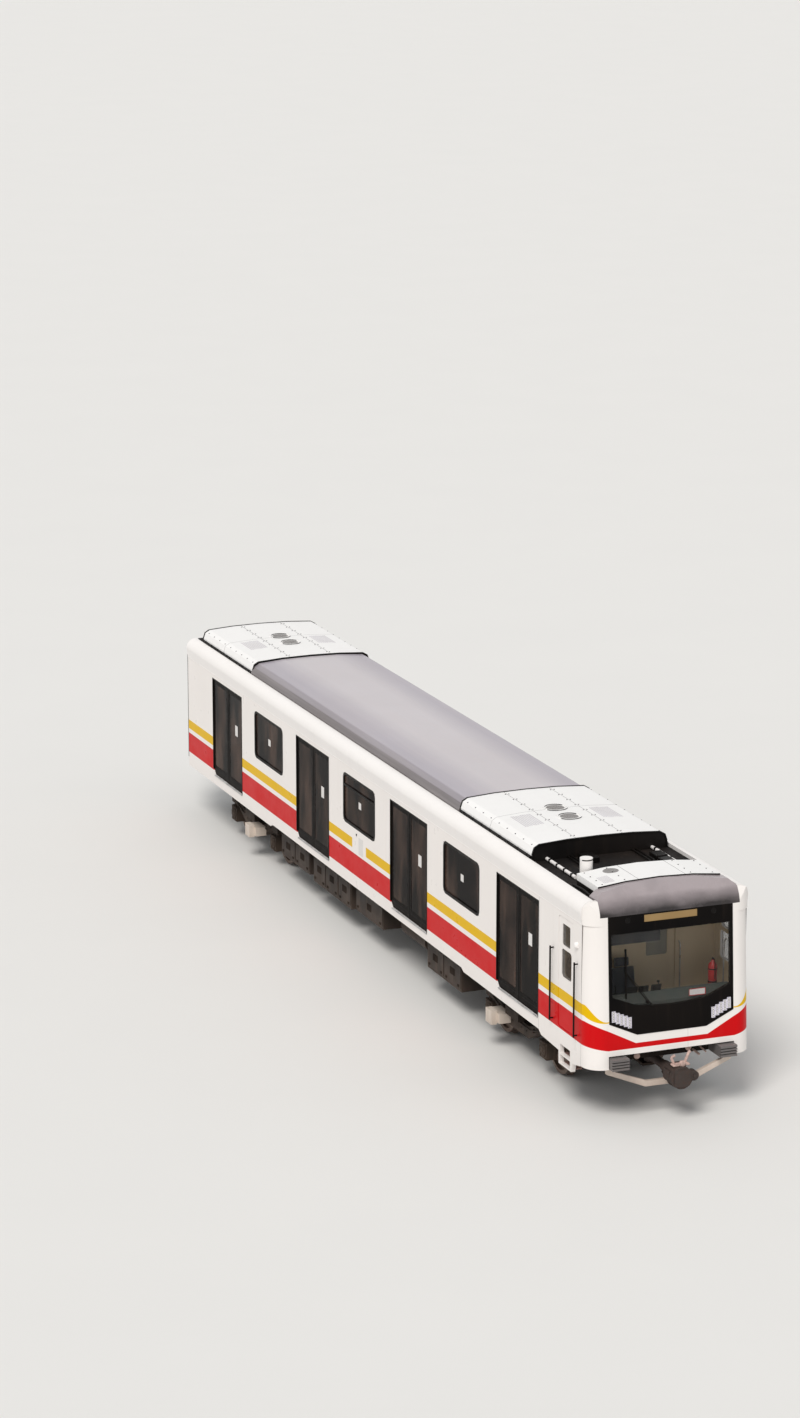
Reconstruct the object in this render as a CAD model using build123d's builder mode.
from build123d import *
from math import cos, radians, sin, tan
import os

os.makedirs("parts", exist_ok=True)

# Lengths along the car: open gangway face, body shell, coupler face
body_length = 19050.0
gangway_depth = 550.0
coupler_reach = 400.0
x_back = -(gangway_depth + body_length + coupler_reach) / 2
x_rear = x_back + gangway_depth
x_nose = x_rear + body_length
x_coupler_face = x_nose + coupler_reach

# Clearances
fit_gap = 0.3
leaf_gap = 6.0
moving_gap = 8.0

# Body section
body_half = 1370.0
wall = 70.0
wall_inner = body_half - wall
wall_top = 3110.0
cantrail_bulge = 26.0
cantrail_half = body_half + cantrail_bulge
cantrail_height = 177.0
cantrail_radius = 185.0
cantrail_knee_z = wall_top + cantrail_height
roof_edge_z = cantrail_knee_z + cantrail_radius
roof_edge_half = cantrail_half - cantrail_radius
deck_half = roof_edge_half - 16.0
ceiling_z = 3240.0
roof_deck_z = 3412.0

# Floor and underframe
floor_top = 1140.0
floor_panel = 30.0
deck_plate = 60.0
deck_top = floor_top - floor_panel
deck_bottom = deck_top - deck_plate
beam_bottom = 970.0
sole_bar_width = 120.0
sole_bar_bottom = 1015.0
cross_beam_width = 100.0
cross_beam_count = 8
cross_beam_inset = 600.0

# Side wall edges: distance from the rear end, height of the lower edge
skirt_over_bogie = 965.0
skirt_middle = 1015.0
skirt_cab = 900.0
skirt_front = 870.0
middle_start = 4700.0
middle_end = body_length - 5100.0
skirt_ramp = 100.0
panel_seam = body_length - 1934.0
front_seam = body_length - 324.0
step_start = body_length - 1150.0
step_end = body_length - 674.0
step_bottom = 665.0

# Doorways and side windows
door_first = 2306.0
door_count = 4
door_width = 1683.0
door_margin = 24.5
door_last = panel_seam - door_margin - door_width / 2
door_pitch = (door_last - door_first) / (door_count - 1)
door_sill = 1154.0
door_head = 3027.0
door_corner = 100.0
leaf_thickness = 40.0
leaf_recess = 18.0
leaf_border = 85.0
leaf_glass_sill = 1330.0
leaf_glass_head = 2930.0
door_glass_thickness = 8.0
window_width = 1550.0
window_sill = 2070.0
window_head = 2960.0
window_radius = 120.0
window_frame = 45.0
window_glass_thickness = 10.0
hopper_bar_z = 2735.0
hopper_bar = 34.0

# Bogies and wheels
bogie_first = 2978.0
bogie_pitch = body_length - 6450.0
wheelbase = 2200.0
wheel_radius = 430.0
flange_height = 28.0
axle_z = wheel_radius + flange_height
wheel_back = 680.0
wheel_width = 135.0
flange_width = 32.0
axle_radius = 85.0
journal_radius = 65.0
journal_inner = 895.0
axle_half = 1085.0
side_frame_centre = 1000.0
side_frame_width = 160.0
bogie_yaw_pin = 100.0
air_spring_radius = 260.0
air_spring_height = 190.0

# Cab
partition_start = body_length - 1350.0
partition_thickness = 60.0
cab_door_start = body_length - 1194.0
cab_door_width = 570.0
cab_door_sill = 1260.0
cab_door_head = 3030.0
cab_door_radius = 50.0
cab_door_recess = 6.0
front_lean = 3.5
front_base_z = 1083.0
front_skirt_z = 880.0
front_corner = 300.0
front_wall = 80.0
mask_top = ceiling_z
mask_half = body_half - front_corner - 34.0
mask_thickness = 60.0
hood_half = roof_edge_half - 51.0
hood_back = body_length - 544.0
hood_back_z = 3650.0
coupler_bay_half = body_half - 321.0
coupler_z = 740.0


def at(distance):
    """X of a place given as its distance from the rear end of the body."""
    return x_rear + distance


def front_x(z):
    """X of the leaning front face at a height."""
    return x_nose - (z - front_base_z) * tan(radians(front_lean))


def keep(piece, label):
    """Name a finished piece and write its file."""
    piece.part.label = label
    export_step(piece.part, f"parts/{label}.step")


door_centres = [at(door_first + i * door_pitch) for i in range(door_count)]
window_centres = [(a + b) / 2 for a, b in zip(door_centres, door_centres[1:])]
bogie_centres = {"rear": at(bogie_first), "front": at(bogie_first + bogie_pitch)}
front_plane = Plane(
    origin=(x_nose, 0, front_base_z),
    x_dir=(0, 1, 0),
    z_dir=(cos(radians(front_lean)), 0, sin(radians(front_lean))),
)
lean_axis = (-sin(radians(front_lean)), 0, cos(radians(front_lean)))


def up_front(z):
    """Height z measured along the leaning front face."""
    return (z - front_base_z) / cos(radians(front_lean))


# Underframe: deck plate, sole bars, cross beams, bolsters with centre pins, headstocks
underframe_end = front_seam + 10.0
headstock_start = body_length - 490.0
headstock_bottom = 880.0
bolster_half_length = 330.0
centre_pin_bottom = 560.0
with BuildPart() as underframe:
    with BuildSketch(Plane.XY.offset(deck_bottom)):
        with Locations((at(underframe_end / 2), 0)):
            Rectangle(underframe_end, 2 * wall_inner)
    extrude(amount=deck_plate)
    with BuildSketch(Plane.XY.offset(sole_bar_bottom)):
        bar_y = wall_inner - sole_bar_width / 2
        with Locations((at(underframe_end / 2), bar_y), (at(underframe_end / 2), -bar_y)):
            Rectangle(underframe_end, sole_bar_width)
    extrude(amount=deck_bottom - sole_bar_bottom)
    with BuildSketch(Plane.XY.offset(beam_bottom)):
        with Locations((at((middle_start + middle_end) / 2), 0)):
            beam_span = middle_end - middle_start - 2 * cross_beam_inset
            with GridLocations(beam_span / (cross_beam_count - 1), 0, cross_beam_count, 1):
                Rectangle(cross_beam_width, 2 * wall_inner)
        for centre in bogie_centres.values():
            with Locations((centre, 0)):
                Rectangle(2 * bolster_half_length, 2 * wall_inner)
    extrude(amount=deck_bottom - beam_bottom)
    with BuildSketch(Plane.XY.offset(centre_pin_bottom)):
        for centre in bogie_centres.values():
            with Locations((centre, 0)):
                Circle(bogie_yaw_pin)
    extrude(amount=beam_bottom - centre_pin_bottom)
    with BuildSketch(Plane.XY.offset(headstock_bottom)):
        with Locations((at((headstock_start + underframe_end) / 2), 0)):
            Rectangle(underframe_end - headstock_start, 2 * coupler_bay_half)
    extrude(amount=deck_bottom - headstock_bottom)
keep(underframe, "underframe")

with BuildPart() as floor:
    with BuildSketch(Plane.XY.offset(deck_top)):
        with Locations((at(underframe_end / 2), 0)):
            Rectangle(underframe_end, 2 * wall_inner)
    extrude(amount=floor_panel)
keep(floor, "floor")


def doorway_points(centre):
    """Outline of a doorway with its cut lower rear corner."""
    return [
        (centre - door_width / 2 + door_corner, door_sill),
        (centre + door_width / 2, door_sill),
        (centre + door_width / 2, door_head),
        (centre - door_width / 2, door_head),
        (centre - door_width / 2, door_sill + door_corner),
    ]


# Side walls with doorways and window openings, one sheet each side
with BuildPart() as side_walls:
    with BuildSketch(Plane.XZ.offset(wall_inner)):
        Polygon(
            (at(0), skirt_over_bogie),
            (at(middle_start), skirt_over_bogie),
            (at(middle_start + skirt_ramp), skirt_middle),
            (at(middle_end), skirt_middle),
            (at(middle_end + skirt_ramp), skirt_over_bogie),
            (at(panel_seam), skirt_over_bogie),
            (at(panel_seam), wall_top),
            (at(0), wall_top),
            align=None,
        )
        for centre in door_centres:
            Polygon(*doorway_points(centre), align=None, mode=Mode.SUBTRACT)
        for centre in window_centres:
            with Locations((centre, (window_sill + window_head) / 2)):
                RectangleRounded(
                    window_width, window_head - window_sill, window_radius, mode=Mode.SUBTRACT
                )
    extrude(amount=wall)
    mirror(about=Plane.XZ)
keep(side_walls, "side_walls")

# Cab side walls with the cab doorway and the foot pockets of the step panel
pocket_margin = 48.0
pocket_start = step_start + pocket_margin
pocket_length = step_end - step_start - 2 * pocket_margin
pocket_heights = [(690.0, 820.0), (840.0, 990.0)]
cab_door_centre = cab_door_start + cab_door_width / 2
with BuildPart() as cab_side_walls:
    with BuildSketch(Plane.XZ.offset(wall_inner)):
        Polygon(
            (at(panel_seam), skirt_over_bogie),
            (at(panel_seam + skirt_ramp), skirt_cab),
            (at(step_start - 10), skirt_front),
            (at(step_start), step_bottom),
            (at(step_end), step_bottom),
            (at(step_end + 40), skirt_front - 60),
            (at(front_seam), skirt_front),
            (at(front_seam), wall_top),
            (at(panel_seam), wall_top),
            align=None,
        )
        with Locations((at(cab_door_centre), (cab_door_sill + cab_door_head) / 2)):
            RectangleRounded(
                cab_door_width, cab_door_head - cab_door_sill, cab_door_radius, mode=Mode.SUBTRACT
            )
        for low, high in pocket_heights:
            with Locations((at(pocket_start + pocket_length / 2), (low + high) / 2)):
                RectangleRounded(pocket_length, high - low, 15, mode=Mode.SUBTRACT)
    extrude(amount=wall)
    mirror(about=Plane.XZ)
keep(cab_side_walls, "cab_side_walls")

# Step wells behind the foot pockets: a back plate with two treads
well_depth = 130.0
well_plate = 12.0
with BuildPart() as cab_steps:
    with BuildSketch(Plane.XZ.offset(wall_inner - well_depth)):
        with Locations((at(pocket_start + pocket_length / 2), (step_bottom + skirt_middle) / 2)):
            Rectangle(pocket_length, skirt_middle - step_bottom)
    extrude(amount=well_plate)
    with BuildSketch(Plane.XZ.offset(wall_inner - well_depth)):
        for low, high in pocket_heights:
            with Locations((at(pocket_start + pocket_length / 2), low - well_plate / 2)):
                Rectangle(pocket_length, well_plate)
    extrude(amount=well_depth)
    mirror(about=Plane.XZ)
keep(cab_steps, "cab_steps")


def cantrail_section():
    """Corner beam of the roof, drawn on the right-hand side of the current sketch."""
    with BuildLine() as edge:
        Polyline(
            (roof_edge_half, roof_edge_z),
            (deck_half, roof_edge_z),
            (deck_half, ceiling_z),
            (wall_inner, wall_top),
            (body_half, wall_top),
            (cantrail_half, cantrail_knee_z),
        )
        CenterArc((roof_edge_half, cantrail_knee_z), cantrail_radius, 0, 90)
    make_face(edge.edges())


with BuildPart() as cantrails:
    with BuildSketch(Plane.YZ.offset(at(0))):
        cantrail_section()
    extrude(amount=front_seam)
    mirror(about=Plane.XZ)
keep(cantrails, "cantrails")

# Roof deck with the ceiling as its underside
with BuildPart() as roof_deck:
    with BuildSketch(Plane.YZ.offset(at(0))):
        with Locations((0, (ceiling_z + roof_deck_z) / 2)):
            Rectangle(2 * deck_half, roof_deck_z - ceiling_z)
    extrude(amount=front_seam)
keep(roof_deck, "roof_deck")

# Arched roof panels between the air units
panel_start = 3156.0
panel_end = body_length - 5694.0
# Arches of the panels and of the air unit covers: inset from the deck edge, rise over the deck
arch_panel = [(10, 0), (10, 88), (85, 188), (175, 243), (635, 280), (deck_half, 288)]
arch_cover = [(45, 0), (45, 118), (79, 218), (165, 268), (635, 300), (deck_half, 310)]


def arch_face(points):
    """Closed arch from a table of insets and rises, mirrored about the centre line."""
    half = [(deck_half - inset, roof_deck_z + rise) for inset, rise in points]
    Polygon(*half, *[(-y, z) for y, z in reversed(half[:-1])], align=None)


with BuildPart() as roof_panels:
    with BuildSketch(Plane.YZ.offset(at(panel_start))):
        arch_face(arch_panel)
    extrude(amount=panel_end - panel_start)
keep(roof_panels, "roof_panels")

# Air unit covers: start, end, as distances from the rear end
well_start = body_length - 2744.0
unit_spans = [(306.0, panel_start), (panel_end, well_start)]
fan_radius = 200.0
fan_offsets = [-280.0, 280.0]
fan_guard = 12.0
with BuildPart() as ac_covers:
    for start, end in unit_spans:
        with BuildSketch(Plane.YZ.offset(at(start))):
            arch_face(arch_cover)
        extrude(amount=end - start)
        with BuildSketch(Plane.XY.offset(roof_deck_z + arch_cover[-1][1] - 4)):
            for shift in fan_offsets:
                with Locations((at((start + end) / 2 + shift), 0)):
                    Circle(fan_radius)
                    Circle(fan_radius - 25, mode=Mode.SUBTRACT)
        extrude(amount=4 + fan_guard)
keep(ac_covers, "ac_covers")

# Cab air unit
cab_unit_start = body_length - 1330.0
arch_cab_unit = [(175, 0), (175, 188), (635, 238), (deck_half, 258)]
with BuildPart() as cab_ac_cover:
    with BuildSketch(Plane.YZ.offset(at(cab_unit_start))):
        arch_face(arch_cab_unit)
    extrude(amount=hood_back - cab_unit_start)
keep(cab_ac_cover, "cab_ac_cover")

# Antenna and pipe runs in the dark well between the air units
antenna_radius = 100.0
antenna_top = 3790.0
antenna_spot = (body_length - 1470.0, -800.0)
pipe_radius = 28.0
pipe_y = 900.0
pipe_length = 1100.0
with BuildPart() as roof_fittings:
    with BuildSketch(Plane.XY.offset(roof_deck_z)):
        with Locations((at(antenna_spot[0]), antenna_spot[1])):
            Circle(antenna_radius)
    extrude(amount=antenna_top - roof_deck_z)
    with BuildSketch(Plane.YZ.offset(at(well_start))):
        with Locations((-pipe_y, roof_deck_z + pipe_radius), (pipe_y, roof_deck_z + pipe_radius)):
            Circle(pipe_radius)
    extrude(amount=pipe_length)
keep(roof_fittings, "roof_fittings")

# Rear end wall with the gangway opening
end_wall_thickness = 80.0
passage_half = 650.0
passage_top = 3090.0
with BuildPart() as end_wall:
    with BuildSketch(Plane.YZ.offset(at(0))):
        Polygon(
            (-wall_inner, floor_top), (wall_inner, floor_top), (wall_inner, wall_top),
            (deck_half, ceiling_z), (-deck_half, ceiling_z), (-wall_inner, wall_top), align=None,
        )
        with Locations((0, (floor_top + passage_top) / 2)):
            Rectangle(2 * passage_half, passage_top - floor_top, mode=Mode.SUBTRACT)
    extrude(amount=end_wall_thickness)
keep(end_wall, "end_wall")

# Gangway bellows: folded ring from the end wall to the open end frame
bellows_half = 1200.0
bellows_bottom = 985.0
bellows_top = 3330.0
bellows_chamfer = 230.0
bellows_ring = 90.0
fold_depth = 45.0
fold_count = 8
frame_thickness = 40.0


def gangway_ring(inset):
    """Ring outline with cut top corners; inset moves every edge inwards."""
    half = bellows_half - inset
    top = bellows_top - inset
    low = bellows_bottom + inset
    return [
        (-half, low), (half, low), (half, top - bellows_chamfer),
        (half - bellows_chamfer, top), (-half + bellows_chamfer, top), (-half, top - bellows_chamfer),
    ]


fold_pitch = (gangway_depth - frame_thickness) / fold_count
with BuildPart() as gangway_bellows:
    for i in range(fold_count):
        start = x_back + frame_thickness + i * fold_pitch
        stations = [(start, fold_depth), (start + fold_pitch / 2, 0.0), (start + fold_pitch, fold_depth)]
        for (x_a, in_a), (x_b, in_b) in zip(stations, stations[1:]):
            with BuildSketch(Plane.YZ.offset(x_a)):
                Polygon(*gangway_ring(in_a), align=None)
            with BuildSketch(Plane.YZ.offset(x_b)):
                Polygon(*gangway_ring(in_b), align=None)
            loft(ruled=True)
    with BuildSketch(Plane.YZ.offset(x_back)):
        Polygon(*gangway_ring(bellows_ring), align=None)
    extrude(amount=gangway_depth, mode=Mode.SUBTRACT)
keep(gangway_bellows, "gangway_bellows")

frame_bolt_y = 2120.0
frame_bolt_z = 2050.0
frame_bolt_rise = 1800.0
frame_bolt_radius = 9.0
with BuildPart() as gangway_frame:
    with BuildSketch(Plane.YZ.offset(x_back)):
        Polygon(*gangway_ring(0), align=None)
        with Locations((0, (floor_top + passage_top) / 2)):
            Rectangle(2 * passage_half, passage_top - floor_top, mode=Mode.SUBTRACT)
        with Locations((0, frame_bolt_z)):
            with GridLocations(frame_bolt_y, frame_bolt_rise, 2, 2):
                Circle(frame_bolt_radius, mode=Mode.SUBTRACT)
    extrude(amount=frame_thickness)
keep(gangway_frame, "gangway_frame")

bridge_plate = 25.0
with BuildPart() as gangway_bridge:
    with BuildSketch(Plane.XY.offset(floor_top - bridge_plate)):
        with Locations(((x_back + frame_thickness + x_rear) / 2, 0)):
            Rectangle(gangway_depth - frame_thickness, 2 * passage_half)
    extrude(amount=bridge_plate)
keep(gangway_bridge, "gangway_bridge")


def front_plan(z, half, setback, corner):
    """Plan of the nose at a height: straight sides and rounded front corners."""
    nose = front_x(z) - setback
    tail = at(front_seam) - 400
    with BuildLine() as edge:
        Line((tail, -half), (nose - corner, -half))
        CenterArc((nose - corner, -half + corner), corner, -90, 90)
        Line((nose, -half + corner), (nose, half - corner))
        CenterArc((nose - corner, half - corner), corner, 0, 90)
        Polyline((nose - corner, half), (tail, half), (tail, -half))
    make_face(edge.edges())


def front_silhouette(low):
    """Side view of the nose: leaning face and the rounded brow above the mask."""
    brow_start = (front_x(mask_top), mask_top)
    brow_end = (at(hood_back), hood_back_z)
    with BuildLine() as edge:
        Line((front_x(low), low), brow_start)
        ThreePointArc(brow_start, (brow_start[0] - 95, mask_top + 215), brow_end)
        Polyline(brow_end, (brow_end[0], low), (front_x(low), low))
    make_face(edge.edges())


# Front shell: corner posts, white band and the wall round the mask
mask_low_half = mask_half - 460.0
mask_low_z = 1376.0
mask_side_z = 1585.0
mask_outline = [(-mask_low_half, mask_low_z), (mask_low_half, mask_low_z),
                (mask_half, mask_side_z), (mask_half, mask_top + 60),
                (-mask_half, mask_top + 60), (-mask_half, mask_side_z)]


def front_outline(points, grow=0.0):
    """Closed outline on the leaning front face from (y, z) points."""
    Polygon(*[(y, up_front(z)) for y, z in points], align=None)
    if grow:
        offset(amount=grow, kind=Kind.INTERSECTION, mode=Mode.REPLACE)


with BuildPart() as cab_shell:
    with BuildSketch(Plane.XY.offset(front_skirt_z)):
        front_plan(front_skirt_z, body_half, 0, front_corner)
    extrude(amount=(wall_top - front_skirt_z) / cos(radians(front_lean)), dir=lean_axis)
    with BuildSketch(Plane.XY.offset(wall_top)):
        front_plan(wall_top, cantrail_half, 0, front_corner)
    extrude(amount=(roof_edge_z - wall_top) / cos(radians(front_lean)), dir=lean_axis)
    with BuildSketch(Plane.YZ.offset(at(front_seam))):
        with BuildLine():
            Polyline(
                (0, front_skirt_z), (body_half, front_skirt_z), (body_half, wall_top),
                (cantrail_half, cantrail_knee_z),
            )
            CenterArc((roof_edge_half, cantrail_knee_z), cantrail_radius, 0, 90)
            Polyline((roof_edge_half, roof_edge_z), (0, roof_edge_z), (0, front_skirt_z))
        make_face()
        mirror(about=Plane.YZ)
    extrude(amount=600, mode=Mode.INTERSECT)
    with BuildSketch(Plane.XZ.offset(-cantrail_half - 10)):
        front_silhouette(front_skirt_z)
    extrude(amount=2 * cantrail_half + 20, mode=Mode.INTERSECT)
    # The cab space behind the front wall, open downwards to the underframe
    with BuildSketch(Plane.XY.offset(front_skirt_z)):
        front_plan(front_skirt_z, wall_inner, front_wall, front_corner - wall)
    extrude(
        amount=(ceiling_z - front_skirt_z) / cos(radians(front_lean)),
        dir=lean_axis, mode=Mode.SUBTRACT,
    )
    with BuildSketch(Plane.XY.offset(ceiling_z)):
        with Locations((at(front_seam) + 200, 0)):
            Rectangle(1000, 2 * hood_half)
    extrude(amount=500, mode=Mode.SUBTRACT)
    with BuildSketch(Plane.XY.offset(front_skirt_z - 10)):
        with Locations((at(front_seam) + 200, 0)):
            Rectangle(1000, 2 * coupler_bay_half)
    extrude(amount=front_base_z - front_skirt_z + 10, mode=Mode.SUBTRACT)
    with BuildSketch(front_plane.offset(50)):
        front_outline(mask_outline)
    extrude(amount=-200, mode=Mode.SUBTRACT)
keep(cab_shell, "cab_shell")

# Windscreen edge on the front face, right half from the top: inset from the mask edge, height
glass_edge = [(46, 2965), (51, 1995), (446, 1836)]
glass_low = 1790.0


def windscreen_outline(inset=0.0):
    """Windscreen outline with its bowed lower edge."""
    right = [(mask_half - inset_y, up_front(z)) for inset_y, z in glass_edge]
    left = [(-y, z) for y, z in reversed(right)]
    with BuildLine() as edge:
        Polyline(*left, *right)
        ThreePointArc(right[-1], (0, up_front(glass_low)), left[0])
    make_face(edge.edges())
    if inset:
        offset(amount=-inset, mode=Mode.REPLACE)


lamp_columns = 5
lamp_pitch = 66.0
lamp_start = mask_half - 42.0 - lamp_columns * lamp_pitch
lamp_height = 174.0
lamp_low = 1490.0
lamp_rise = 30.0
lamp_spots = [
    (side * (lamp_start + (i + 0.5) * lamp_pitch), lamp_low + i * lamp_rise + lamp_height / 2)
    for side in (-1, 1)
    for i in range(lamp_columns)
]
marker_y = mask_half - 322.0
marker_z = 3160.0
marker_spots = [(-marker_y, marker_z), (marker_y, marker_z)]
marker_radius = 45.0
display_width = 880.0
display_height = 110.0
display_z = 3165.0
pocket_depth = 40.0
mask_visible = [(y, min(z, mask_top)) for y, z in mask_outline]
with BuildPart() as front_mask:
    with BuildSketch(front_plane.offset(-mask_thickness)):
        front_outline(mask_visible)
        offset(amount=-fit_gap, kind=Kind.INTERSECTION, mode=Mode.REPLACE)
    extrude(amount=mask_thickness + 6)
    with BuildSketch(front_plane.offset(50)):
        windscreen_outline()
    extrude(amount=-200, mode=Mode.SUBTRACT)
    with BuildSketch(front_plane.offset(6)):
        for y, z in lamp_spots:
            with Locations((y, up_front(z))):
                Rectangle(lamp_pitch + 2 * fit_gap, lamp_height + 2 * fit_gap)
        for y, z in marker_spots:
            with Locations((y, up_front(z))):
                Circle(marker_radius + fit_gap)
        with Locations((0, up_front(display_z))):
            Rectangle(display_width + 2 * fit_gap, display_height + 2 * fit_gap)
    extrude(amount=-pocket_depth, mode=Mode.SUBTRACT)
keep(front_mask, "front_mask")

glass_pane = 14.0
with BuildPart() as windscreen:
    with BuildSketch(front_plane.offset(-glass_pane)):
        windscreen_outline(fit_gap)
    extrude(amount=glass_pane)
keep(windscreen, "windscreen")

with BuildPart() as front_lamps:
    with BuildSketch(front_plane.offset(6 - pocket_depth)):
        for y, z in lamp_spots:
            with Locations((y, up_front(z))):
                Rectangle(lamp_pitch, lamp_height)
        for y, z in marker_spots:
            with Locations((y, up_front(z))):
                Circle(marker_radius)
    extrude(amount=pocket_depth - 4)
keep(front_lamps, "front_lamps")

with BuildPart() as destination_display:
    with BuildSketch(front_plane.offset(6 - pocket_depth)):
        with Locations((0, up_front(display_z))):
            Rectangle(display_width, display_height)
    extrude(amount=pocket_depth - 4)
keep(destination_display, "destination_display")

# Rounded brow over the mask, closed down to the roof deck
arch_hood = [(35, mask_top - roof_deck_z), (35, 68), (135, 158), (635, 218), (deck_half, 238)]
with BuildPart() as front_hood:
    with BuildSketch(Plane.XZ.offset(-hood_half)):
        front_silhouette(mask_top - 20)
    extrude(amount=2 * hood_half)
    with BuildSketch(Plane.YZ.offset(at(hood_back))):
        arch_face(arch_hood)
    extrude(amount=800, mode=Mode.INTERSECT)
    with BuildSketch(Plane.XY.offset(mask_top)):
        front_plan(mask_top, cantrail_half, 0, front_corner)
    extrude(amount=500 / cos(radians(front_lean)), dir=lean_axis, mode=Mode.INTERSECT)
    with BuildSketch(Plane.XY.offset(mask_top)):
        with Locations((at(front_seam) - 500, 0)):
            Rectangle(1000, 2 * hood_half)
    extrude(amount=roof_deck_z - mask_top, mode=Mode.SUBTRACT)
keep(front_hood, "front_hood")

# Apron bar that dips under the coupler, hung from the headstock
apron_x = body_length - 150.0
apron_thickness = 60.0
climber_low = 885.0
climber_half = 140.0
climber_centre = coupler_bay_half - 149.0
apron_half = climber_centre + climber_half
# Outer and inner edge of the bar: inset from its end, height
apron_outer = [(0, climber_low), (0, 770), (650, 500)]
apron_inner = [(675, 590), (100, 810), (100, climber_low)]
with BuildPart() as front_apron:
    with BuildSketch(Plane.YZ.offset(at(apron_x))):
        apron_edge = [(apron_half - inset, z) for inset, z in apron_outer]
        apron_edge += [(inset - apron_half, z) for inset, z in reversed(apron_outer)]
        apron_edge += [(inset - apron_half, z) for inset, z in reversed(apron_inner)]
        apron_edge += [(apron_half - inset, z) for inset, z in apron_inner]
        Polygon(*apron_edge, align=None)
    extrude(amount=apron_thickness)
keep(front_apron, "front_apron")

# Anti-climbers: ribbed blocks either side of the coupler bay
climber_end = body_length + 130.0
climber_high = 1060.0
rib_count = 4
rib_depth = 35.0
rib_pitch = (climber_high - climber_low) / rib_count
with BuildPart() as anti_climbers:
    with BuildSketch(Plane.YZ.offset(at(underframe_end))):
        with Locations((climber_centre, (climber_low + climber_high) / 2)):
            Rectangle(2 * climber_half, climber_high - climber_low)
    extrude(amount=climber_end - underframe_end)
    with BuildSketch(Plane.YZ.offset(at(climber_end) - rib_depth)):
        with Locations((climber_centre, (climber_low + climber_high) / 2)):
            with GridLocations(0, rib_pitch, 1, rib_count - 1):
                Rectangle(2 * climber_half + 10, rib_pitch * 0.4)
    extrude(amount=rib_depth + 5, mode=Mode.SUBTRACT)
    mirror(about=Plane.XZ)
keep(anti_climbers, "anti_climbers")

# Wiper: spindle, arm and blade standing on the glass
with BuildPart() as wiper:
    with BuildSketch(front_plane):
        with Locations((-406, up_front(1870))):
            Circle(26)
    extrude(amount=38)
    with BuildSketch(front_plane.offset(22)):
        Polygon(
            (-420, up_front(1880)), (-392, up_front(1870)), (-745, up_front(2345)),
            (-765, up_front(2335)), align=None,
        )
    extrude(amount=16)
    with BuildSketch(front_plane):
        with Locations((-760, up_front(2343))):
            Rectangle(22, 770)
    extrude(amount=30)
keep(wiper, "wiper")

# Side window frames; the middle one on each side has a hopper with a cross bar
window_height = window_head - window_sill
window_mid_z = (window_sill + window_head) / 2
hopper_centre = window_centres[1]
with BuildPart() as window_frames:
    with BuildSketch(Plane.XZ.offset(wall_inner)):
        for centre in window_centres:
            with Locations((centre, window_mid_z)):
                RectangleRounded(
                    window_width - 2 * fit_gap, window_height - 2 * fit_gap, window_radius - fit_gap
                )
                RectangleRounded(
                    window_width - 2 * window_frame, window_height - 2 * window_frame,
                    window_radius - window_frame, mode=Mode.SUBTRACT,
                )
        with Locations((hopper_centre, hopper_bar_z)):
            Rectangle(window_width - 2 * window_frame, hopper_bar)
    extrude(amount=wall + 2)
    mirror(about=Plane.XZ)
keep(window_frames, "window_frames")

glass_inset = window_frame + fit_gap
with BuildPart() as window_glass:
    with BuildSketch(Plane.XZ.offset(body_half - 30)):
        for centre in window_centres:
            with Locations((centre, window_mid_z)):
                RectangleRounded(
                    window_width - 2 * glass_inset, window_height - 2 * glass_inset,
                    window_radius - glass_inset,
                )
        with Locations((hopper_centre, hopper_bar_z)):
            Rectangle(window_width, hopper_bar + 2 * fit_gap, mode=Mode.SUBTRACT)
    extrude(amount=window_glass_thickness)
    mirror(about=Plane.XZ)
keep(window_glass, "window_glass")

# Passenger door leaves, two to a doorway, closed; they plug and slide, so they have no joint
leaf_outer = body_half - leaf_recess
leaf_inner = leaf_outer - leaf_thickness
leaf_glass_width = (door_width - leaf_gap) / 2 - 2 * leaf_border
leaf_offsets = [-(door_width + leaf_gap) / 4, (door_width + leaf_gap) / 4]
leaf_glass_mid = (leaf_glass_sill + leaf_glass_head) / 2
leaf_glass_height = leaf_glass_head - leaf_glass_sill
with BuildPart() as door_leaves:
    with BuildSketch(Plane.XZ.offset(leaf_inner)):
        for centre in door_centres:
            Polygon(*doorway_points(centre), align=None)
            with Locations((centre, (door_sill + door_head) / 2)):
                Rectangle(leaf_gap, door_head - door_sill + 10, mode=Mode.SUBTRACT)
            for shift in leaf_offsets:
                with Locations((centre + shift, leaf_glass_mid)):
                    RectangleRounded(leaf_glass_width, leaf_glass_height, 40, mode=Mode.SUBTRACT)
    extrude(amount=leaf_thickness)
    mirror(about=Plane.XZ)
keep(door_leaves, "door_leaves")

with BuildPart() as door_glass:
    with BuildSketch(Plane.XZ.offset(leaf_outer - door_glass_thickness - 4)):
        for centre in door_centres:
            for shift in leaf_offsets:
                with Locations((centre + shift, leaf_glass_mid)):
                    RectangleRounded(
                        leaf_glass_width - 2 * fit_gap, leaf_glass_height - 2 * fit_gap, 40 - fit_gap
                    )
    extrude(amount=door_glass_thickness)
    mirror(about=Plane.XZ)
keep(door_glass, "door_glass")

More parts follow.
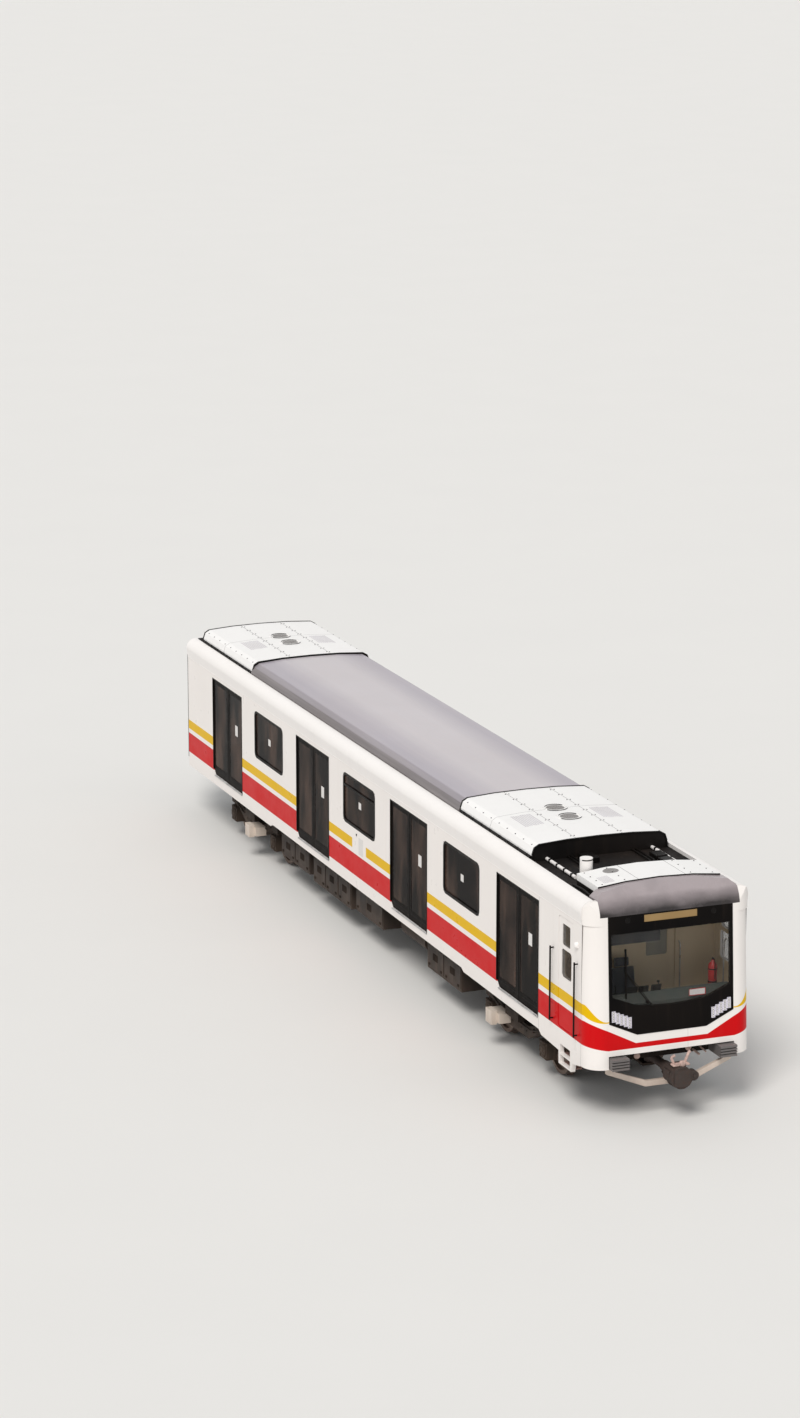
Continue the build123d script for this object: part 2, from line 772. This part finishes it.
# Cab side doors, hinged at their rear edge and opening inwards
cab_door_gap = 7.0
knuckle_height = 120.0
knuckle_levels = [1450.0, 2150.0, 2850.0]
cab_door_outer = body_half - cab_door_recess
cab_door_thickness = cab_door_outer - wall_inner
cab_windows = [
    # centre from the door's rear edge, centre height, width, height, corner
    (279.0, 2760.0, 290.0, 340.0, 30.0),
    (295.0, 2305.0, 370.0, 450.0, 60.0),
]
cab_hinge_x = at(cab_door_start + cab_door_gap)
cab_door_height = cab_door_head - cab_door_sill
cab_glass_thickness = 8.0
for side_name, side in (("left", 1), ("right", -1)):
    door_plane = Plane.XZ.offset(wall_inner if side < 0 else -cab_door_outer)
    glass_plane = Plane.XZ.offset(
        cab_door_outer - 20 if side < 0 else 20 - cab_door_outer - cab_glass_thickness
    )
    with BuildPart() as cab_door:
        with BuildSketch(door_plane):
            with Locations((at(cab_door_centre), (cab_door_sill + cab_door_head) / 2)):
                RectangleRounded(
                    cab_door_width - 2 * cab_door_gap, cab_door_height - 2 * cab_door_gap,
                    cab_door_radius - cab_door_gap,
                )
            for shift, z, width, height, corner in cab_windows:
                with Locations((at(cab_door_start + shift), z)):
                    RectangleRounded(width, height, corner, mode=Mode.SUBTRACT)
        extrude(amount=cab_door_thickness)
        for level in knuckle_levels:
            with BuildSketch(Plane.XY.offset(level)):
                with Locations((cab_hinge_x, side * wall_inner)):
                    Circle(cab_door_gap - fit_gap)
            extrude(amount=knuckle_height)
    keep(cab_door, f"cab_door_{side_name}")
    with BuildPart() as cab_door_glass:
        with BuildSketch(glass_plane):
            for shift, z, width, height, corner in cab_windows:
                with Locations((at(cab_door_start + shift), z)):
                    RectangleRounded(width - 2 * fit_gap, height - 2 * fit_gap, corner - fit_gap)
        extrude(amount=cab_glass_thickness)
    keep(cab_door_glass, f"cab_door_glass_{side_name}")

# Handrails beside the cab doors
rail_radius = 14.0
rail_stand = 70.0
rail_low = 1290.0
rail_high = 2480.0
rail_distances = [cab_door_start - 190.0, cab_door_start + cab_door_width + 150.0]
with BuildPart() as cab_handrails:
    with BuildSketch(Plane.XY.offset(rail_low)):
        for distance in rail_distances:
            with Locations((at(distance), -body_half - rail_stand + rail_radius)):
                Circle(rail_radius)
    extrude(amount=rail_high - rail_low)
    with BuildSketch(Plane.XZ.offset(body_half)):
        for distance in rail_distances:
            with Locations((at(distance), rail_low + 30), (at(distance), rail_high - 30)):
                Circle(rail_radius - 2)
    extrude(amount=rail_stand - rail_radius)
    mirror(about=Plane.XZ)
keep(cab_handrails, "cab_handrails")

# Cab back wall and its door, which swings into the saloon
partition_door_half = 310.0
partition_door_centre = 330.0
partition_door_head = 3040.0
partition_gap = 7.0
partition_hinge_y = partition_door_centre + partition_door_half - partition_gap
with BuildPart() as partition:
    with BuildSketch(Plane.YZ.offset(at(partition_start))):
        Polygon(
            (-wall_inner, floor_top), (wall_inner, floor_top), (wall_inner, wall_top),
            (deck_half, ceiling_z), (-deck_half, ceiling_z), (-wall_inner, wall_top), align=None,
        )
        with Locations((partition_door_centre, (floor_top + partition_door_head) / 2)):
            Rectangle(
                2 * partition_door_half, partition_door_head - floor_top, mode=Mode.SUBTRACT
            )
    extrude(amount=partition_thickness)
keep(partition, "partition")

partition_leaf = 40.0
with BuildPart() as partition_door:
    with BuildSketch(Plane.YZ.offset(at(partition_start))):
        with Locations((partition_door_centre, (floor_top + partition_door_head) / 2)):
            Rectangle(
                2 * (partition_door_half - partition_gap),
                partition_door_head - floor_top - 2 * partition_gap,
            )
        with Locations((partition_door_centre, 2500)):
            RectangleRounded(360, 700, 40, mode=Mode.SUBTRACT)
    extrude(amount=partition_leaf)
    for level in knuckle_levels:
        with BuildSketch(Plane.XY.offset(level)):
            with Locations((at(partition_start), partition_hinge_y)):
                Circle(partition_gap - fit_gap)
        extrude(amount=knuckle_height)
keep(partition_door, "partition_door")

with BuildPart() as partition_door_glass:
    with BuildSketch(Plane.YZ.offset(at(partition_start) + 16)):
        with Locations((partition_door_centre, 2500)):
            RectangleRounded(360 - 2 * fit_gap, 700 - 2 * fit_gap, 40 - fit_gap)
    extrude(amount=8)
keep(partition_door_glass, "partition_door_glass")

# Driver's desk under the windscreen, with a knee well
desk_back = body_length - 550.0
desk_half = wall_inner - 210.0
desk_front = front_x(floor_top + 700) - x_rear - front_wall - 10
with BuildPart() as driver_desk:
    with BuildSketch(Plane.XZ.offset(-desk_half)):
        Polygon(
            (at(desk_back + 90), floor_top), (at(desk_front), floor_top),
            (at(desk_front), floor_top + 690), (at(desk_back + 200), floor_top + 780),
            (at(desk_back), floor_top + 720), (at(desk_back), floor_top + 640), align=None,
        )
    extrude(amount=2 * desk_half)
    with BuildSketch(Plane.XZ.offset(50)):
        Polygon(
            (at(desk_back) - 10, floor_top), (at(desk_back + 260), floor_top),
            (at(desk_back + 200), floor_top + 630), (at(desk_back) - 10, floor_top + 600), align=None,
        )
    extrude(amount=600, mode=Mode.SUBTRACT)
keep(driver_desk, "driver_desk")

seat_y = -350.0
seat_post = body_length - 870.0
# Side view of the cushion and back: distance from the post, height over the floor
seat_profile = [(-190, 400), (220, 400), (230, 480), (-100, 490), (-180, 1130), (-270, 1120), (-210, 430)]
with BuildPart() as driver_seat:
    with BuildSketch(Plane.XY.offset(floor_top)):
        with Locations((at(seat_post), seat_y)):
            Circle(130)
    extrude(amount=30)
    with BuildSketch(Plane.XY.offset(floor_top)):
        with Locations((at(seat_post), seat_y)):
            Circle(45)
    extrude(amount=400)
    with BuildSketch(Plane.XZ.offset(-seat_y - 220)):
        Polygon(*[(at(seat_post + x), floor_top + z) for x, z in seat_profile], align=None)
    extrude(amount=440)
keep(driver_seat, "driver_seat")

# Saloon benches along the walls between the doorways
bench_gap = 102.5
bench_length = door_pitch - door_width - 2 * bench_gap
# Bench section: distance from the wall, height over the floor
bench_profile = [(0, 340), (400, 420), (430, 440), (430, 480), (130, 460), (70, 870), (0, 870)]
with BuildPart() as saloon_seats:
    for centre in window_centres:
        with BuildSketch(Plane.YZ.offset(centre - bench_length / 2)):
            Polygon(*[(wall_inner - y, floor_top + z) for y, z in bench_profile], align=None)
        extrude(amount=bench_length)
    mirror(about=Plane.XZ)
keep(saloon_seats, "saloon_seats")

# Grab poles from floor to ceiling at the bench ends, joined by a rail
pole_radius = 17.0
pole_y = wall_inner - 450.0
grab_rail_radius = 14.0
grab_rail_z = 3050.0
with BuildPart() as grab_poles:
    with BuildSketch(Plane.XY.offset(floor_top)):
        for centre in window_centres:
            for end in (-1, 1):
                with Locations((centre + end * bench_length / 2, pole_y)):
                    Circle(pole_radius)
    extrude(amount=ceiling_z - floor_top)
    for centre in window_centres:
        with BuildSketch(Plane.YZ.offset(centre - bench_length / 2)):
            with Locations((pole_y, grab_rail_z)):
                Circle(grab_rail_radius)
        extrude(amount=bench_length)
    mirror(about=Plane.XZ)
keep(grab_poles, "grab_poles")

# Underfloor bay between the bogies; places in it are shares of its length
bay_start = middle_start + 200.0
bay_length = middle_end - 350.0 - bay_start


def bay(share):
    """X of a share of the underfloor bay."""
    return at(bay_start + share * bay_length)


# Underfloor cases: start and end as shares of the bay, side, lower edge
case_near = 420.0
case_far = body_half - 150.0
underfloor_cases = [
    (0.000, 0.172, -1, 480.0),
    (0.195, 0.414, -1, 430.0),
    (0.442, 0.592, -1, 500.0),
    (0.828, 1.000, -1, 460.0),
    (0.000, 0.264, 1, 450.0),
    (0.299, 0.471, 1, 500.0),
    (0.701, 0.989, 1, 440.0),
]
with BuildPart() as equipment_cases:
    for start, end, side, low in underfloor_cases:
        with BuildSketch(Plane.XY.offset(low)):
            with Locations(((bay(start) + bay(end)) / 2, side * (case_near + case_far) / 2)):
                Rectangle(bay(end) - bay(start), case_far - case_near)
        extrude(amount=beam_bottom - low)
keep(equipment_cases, "equipment_cases")

# Air tanks slung across the middle
tank_radius = 190.0
tank_length = 1100.0
tank_z = 640.0
tank_centres = [(0.684, -800.0), (0.592, 800.0)]
with BuildPart() as air_tanks:
    for share, y in tank_centres:
        with BuildSketch(Plane.YZ.offset(bay(share) - tank_length / 2)):
            with Locations((y, tank_z)):
                Circle(tank_radius)
        extrude(amount=tank_length)
        with BuildSketch(Plane.XY.offset(tank_z)):
            with Locations((bay(share), y)):
                with GridLocations(tank_length - 300, 0, 2, 1):
                    Rectangle(50, 200)
        extrude(amount=deck_bottom - tank_z)
keep(air_tanks, "air_tanks")

# Coupler: bracket with its pin on the underframe, head on a swinging shank
coupler_pivot = body_length - 800.0
coupler_pin = 40.0
eye_radius = 85.0
bracket_half = 150.0
shank_radius = 70.0
with BuildPart() as coupler_bracket:
    with BuildSketch(Plane.XZ.offset(-bracket_half)):
        Polygon(
            (at(coupler_pivot - 260), deck_bottom), (at(coupler_pivot - 260), 600),
            (at(coupler_pivot + 90), 600), (at(coupler_pivot + 90), 640),
            (at(coupler_pivot - 200), 640), (at(coupler_pivot - 200), 840),
            (at(coupler_pivot + 90), 840), (at(coupler_pivot + 90), 880),
            (at(coupler_pivot - 120), 940), (at(coupler_pivot - 120), deck_bottom), align=None,
        )
    extrude(amount=2 * bracket_half)
    with BuildSketch(Plane.XY.offset(640)):
        with Locations((at(coupler_pivot), 0)):
            Circle(coupler_pin)
    extrude(amount=200)
keep(coupler_bracket, "coupler_bracket")

with BuildPart() as coupler:
    with BuildSketch(Plane.XY.offset(640 + moving_gap)):
        with Locations((at(coupler_pivot), 0)):
            Circle(eye_radius)
    extrude(amount=200 - 2 * moving_gap)
    with BuildSketch(Plane.YZ.offset(at(coupler_pivot) + eye_radius - 20)):
        with Locations((0, coupler_z)):
            Circle(shank_radius)
    extrude(amount=800)
    with BuildSketch(Plane.YZ.offset(at(coupler_pivot) + eye_radius + 720)):
        with Locations((0, coupler_z)):
            RectangleRounded(270, 270, 50)
    extrude(amount=x_coupler_face - at(coupler_pivot) - eye_radius - 720)
    with BuildSketch(Plane.XY.offset(640)):
        with Locations((at(coupler_pivot), 0)):
            Circle(coupler_pin + fit_gap)
    extrude(amount=200, mode=Mode.SUBTRACT)
keep(coupler, "coupler")

# Wheelset profile from the car's centre line outwards: distance along the axle, radius
wheel_profile = [
    (0.0, axle_radius),
    (wheel_back - 20, axle_radius),
    (wheel_back - 20, axle_radius + 45),
    (wheel_back + 40, axle_radius + 45),
    (wheel_back + 60, wheel_radius - 75),
    (wheel_back, wheel_radius - 65),
    (wheel_back, wheel_radius + flange_height - 8),
    (wheel_back + 8, wheel_radius + flange_height),
    (wheel_back + flange_width - 10, wheel_radius + flange_height),
    (wheel_back + flange_width, wheel_radius),
    (wheel_back + wheel_width, wheel_radius - 4),
    (wheel_back + wheel_width, wheel_radius - 65),
    (wheel_back + 85, wheel_radius - 75),
    (wheel_back + 75, axle_radius + 45),
    (wheel_back + 150, axle_radius + 45),
    (wheel_back + 150, axle_radius),
    (journal_inner, axle_radius),
    (journal_inner, journal_radius),
    (axle_half, journal_radius),
]
wheelset_number = 0
for centre in bogie_centres.values():
    for end in (-1, 1):
        wheelset_number += 1
        axle_x = centre + end * wheelbase / 2
        axle_plane = Plane(origin=(axle_x, 0, axle_z), x_dir=(0, 1, 0), z_dir=(1, 0, 0))
        with BuildPart() as wheelset:
            with BuildSketch(axle_plane):
                Polygon(
                    *[(-y, r) for y, r in reversed(wheel_profile[1:])], *wheel_profile,
                    (axle_half, 0), (-axle_half, 0), align=None,
                )
            revolve(axis=Axis((axle_x, 0, axle_z), (0, 1, 0)))
        keep(wheelset, f"wheelset_{wheelset_number}")

# Bogies: frame, axle boxes with springs, air springs, drives and current collectors
frame_top = 780.0
frame_end_low = 640.0
frame_mid_low = 430.0
frame_mid_top = 640.0
box_half = 140.0
box_low = axle_z - 150.0
box_high = axle_z + 130.0
transom_half = 210.0
transom_low = 520.0
transom_top = 700.0
motor_radius = 190.0
motor_half = 290.0
motor_offset = 560.0
gearbox_radius = 210.0
gearbox_y = 440.0
gearbox_width = 150.0
collector_shift = 450.0
for bogie_name, centre in bogie_centres.items():
    inward = 1 if bogie_name == "rear" else -1
    with BuildPart() as bogie_frame:
        with BuildSketch(Plane.XZ.offset(side_frame_centre - side_frame_width / 2)):
            Polygon(
                (centre - wheelbase / 2 - 180, frame_end_low), (centre - wheelbase / 2 + 200, frame_end_low),
                (centre - 480, frame_mid_low), (centre + 480, frame_mid_low),
                (centre + wheelbase / 2 - 200, frame_end_low), (centre + wheelbase / 2 + 180, frame_end_low),
                (centre + wheelbase / 2 + 180, frame_top - 30), (centre + wheelbase / 2 - 150, frame_top),
                (centre + 500, frame_mid_top), (centre - 500, frame_mid_top),
                (centre - wheelbase / 2 + 150, frame_top), (centre - wheelbase / 2 - 180, frame_top - 30),
                align=None,
            )
        extrude(amount=side_frame_width)
        mirror(about=Plane.XZ)
        with BuildSketch(Plane.XY.offset(transom_low)):
            with Locations((centre, 0)):
                Rectangle(2 * transom_half, 2 * side_frame_centre)
        extrude(amount=transom_top - transom_low)
        with BuildSketch(Plane.XY.offset(frame_mid_top)):
            with Locations((centre, side_frame_centre - 60), (centre, 60 - side_frame_centre)):
                Rectangle(2 * air_spring_radius, 2 * air_spring_radius - 60)
        extrude(amount=beam_bottom - air_spring_height - frame_mid_top - fit_gap)
        with BuildSketch(Plane.XY.offset(transom_low)):
            with Locations((centre, 0)):
                Circle(bogie_yaw_pin + fit_gap)
        extrude(amount=transom_top - transom_low, mode=Mode.SUBTRACT)
    keep(bogie_frame, f"bogie_frame_{bogie_name}")

    with BuildPart() as axle_boxes:
        with BuildSketch(Plane.XZ.offset(side_frame_centre - side_frame_width / 2)):
            for end in (-1, 1):
                with Locations((centre + end * wheelbase / 2, (box_low + box_high) / 2)):
                    Rectangle(2 * box_half, box_high - box_low)
                with Locations((centre + end * wheelbase / 2, axle_z)):
                    Circle(journal_radius + fit_gap, mode=Mode.SUBTRACT)
        extrude(amount=side_frame_width + 20)
        with BuildSketch(Plane.XY.offset(box_high)):
            for end in (-1, 1):
                for shift in (-1, 1):
                    with Locations((centre + end * wheelbase / 2 + shift * 75, -side_frame_centre)):
                        Circle(62)
        extrude(amount=frame_end_low - box_high)
        mirror(about=Plane.XZ)
    keep(axle_boxes, f"axle_boxes_{bogie_name}")

    with BuildPart() as air_springs:
        with BuildSketch(Plane.XY.offset(beam_bottom - air_spring_height - fit_gap)):
            with Locations((centre, side_frame_centre - 60), (centre, 60 - side_frame_centre)):
                Circle(air_spring_radius)
        extrude(amount=air_spring_height)
    keep(air_springs, f"air_springs_{bogie_name}")

    with BuildPart() as bogie_drives:
        for end in (-1, 1):
            motor_x = centre + end * motor_offset
            motor_plane = Plane(origin=(motor_x, 0, axle_z), x_dir=(0, 0, 1), z_dir=(0, 1, 0))
            with BuildSketch(motor_plane.offset(-motor_half - 100)):
                Circle(motor_radius)
            extrude(amount=2 * motor_half)
            with BuildSketch(Plane.XY.offset(axle_z)):
                with Locations((centre + end * (transom_half + motor_offset) / 2, -100)):
                    Rectangle(motor_offset - transom_half, 200)
            extrude(amount=140)
            gear_plane = Plane(
                origin=(centre + end * wheelbase / 2, gearbox_y, axle_z), x_dir=(0, 0, 1), z_dir=(0, 1, 0)
            )
            with BuildSketch(gear_plane.offset(-gearbox_width / 2)):
                Circle(gearbox_radius)
                Circle(axle_radius + fit_gap, mode=Mode.SUBTRACT)
            extrude(amount=gearbox_width)
            with BuildSketch(Plane.XY.offset(axle_z - 60)):
                with Locations(
                    (centre + end * (transom_half + wheelbase / 2 - gearbox_radius + 30) / 2, gearbox_y)
                ):
                    Rectangle(wheelbase / 2 - gearbox_radius + 30 - transom_half, 90)
            extrude(amount=180)
    keep(bogie_drives, f"bogie_drives_{bogie_name}")

    with BuildPart() as collectors:
        with BuildSketch(Plane.XY.offset(470)):
            with Locations((centre + inward * collector_shift, -(side_frame_centre + 180))):
                Rectangle(420, 200)
        extrude(amount=160)
        with BuildSketch(Plane.XY.offset(440)):
            with Locations((centre + inward * collector_shift, -1330)):
                Rectangle(240, 100)
        extrude(amount=230)
        mirror(about=Plane.XZ)
    keep(collectors, f"collectors_{bogie_name}")
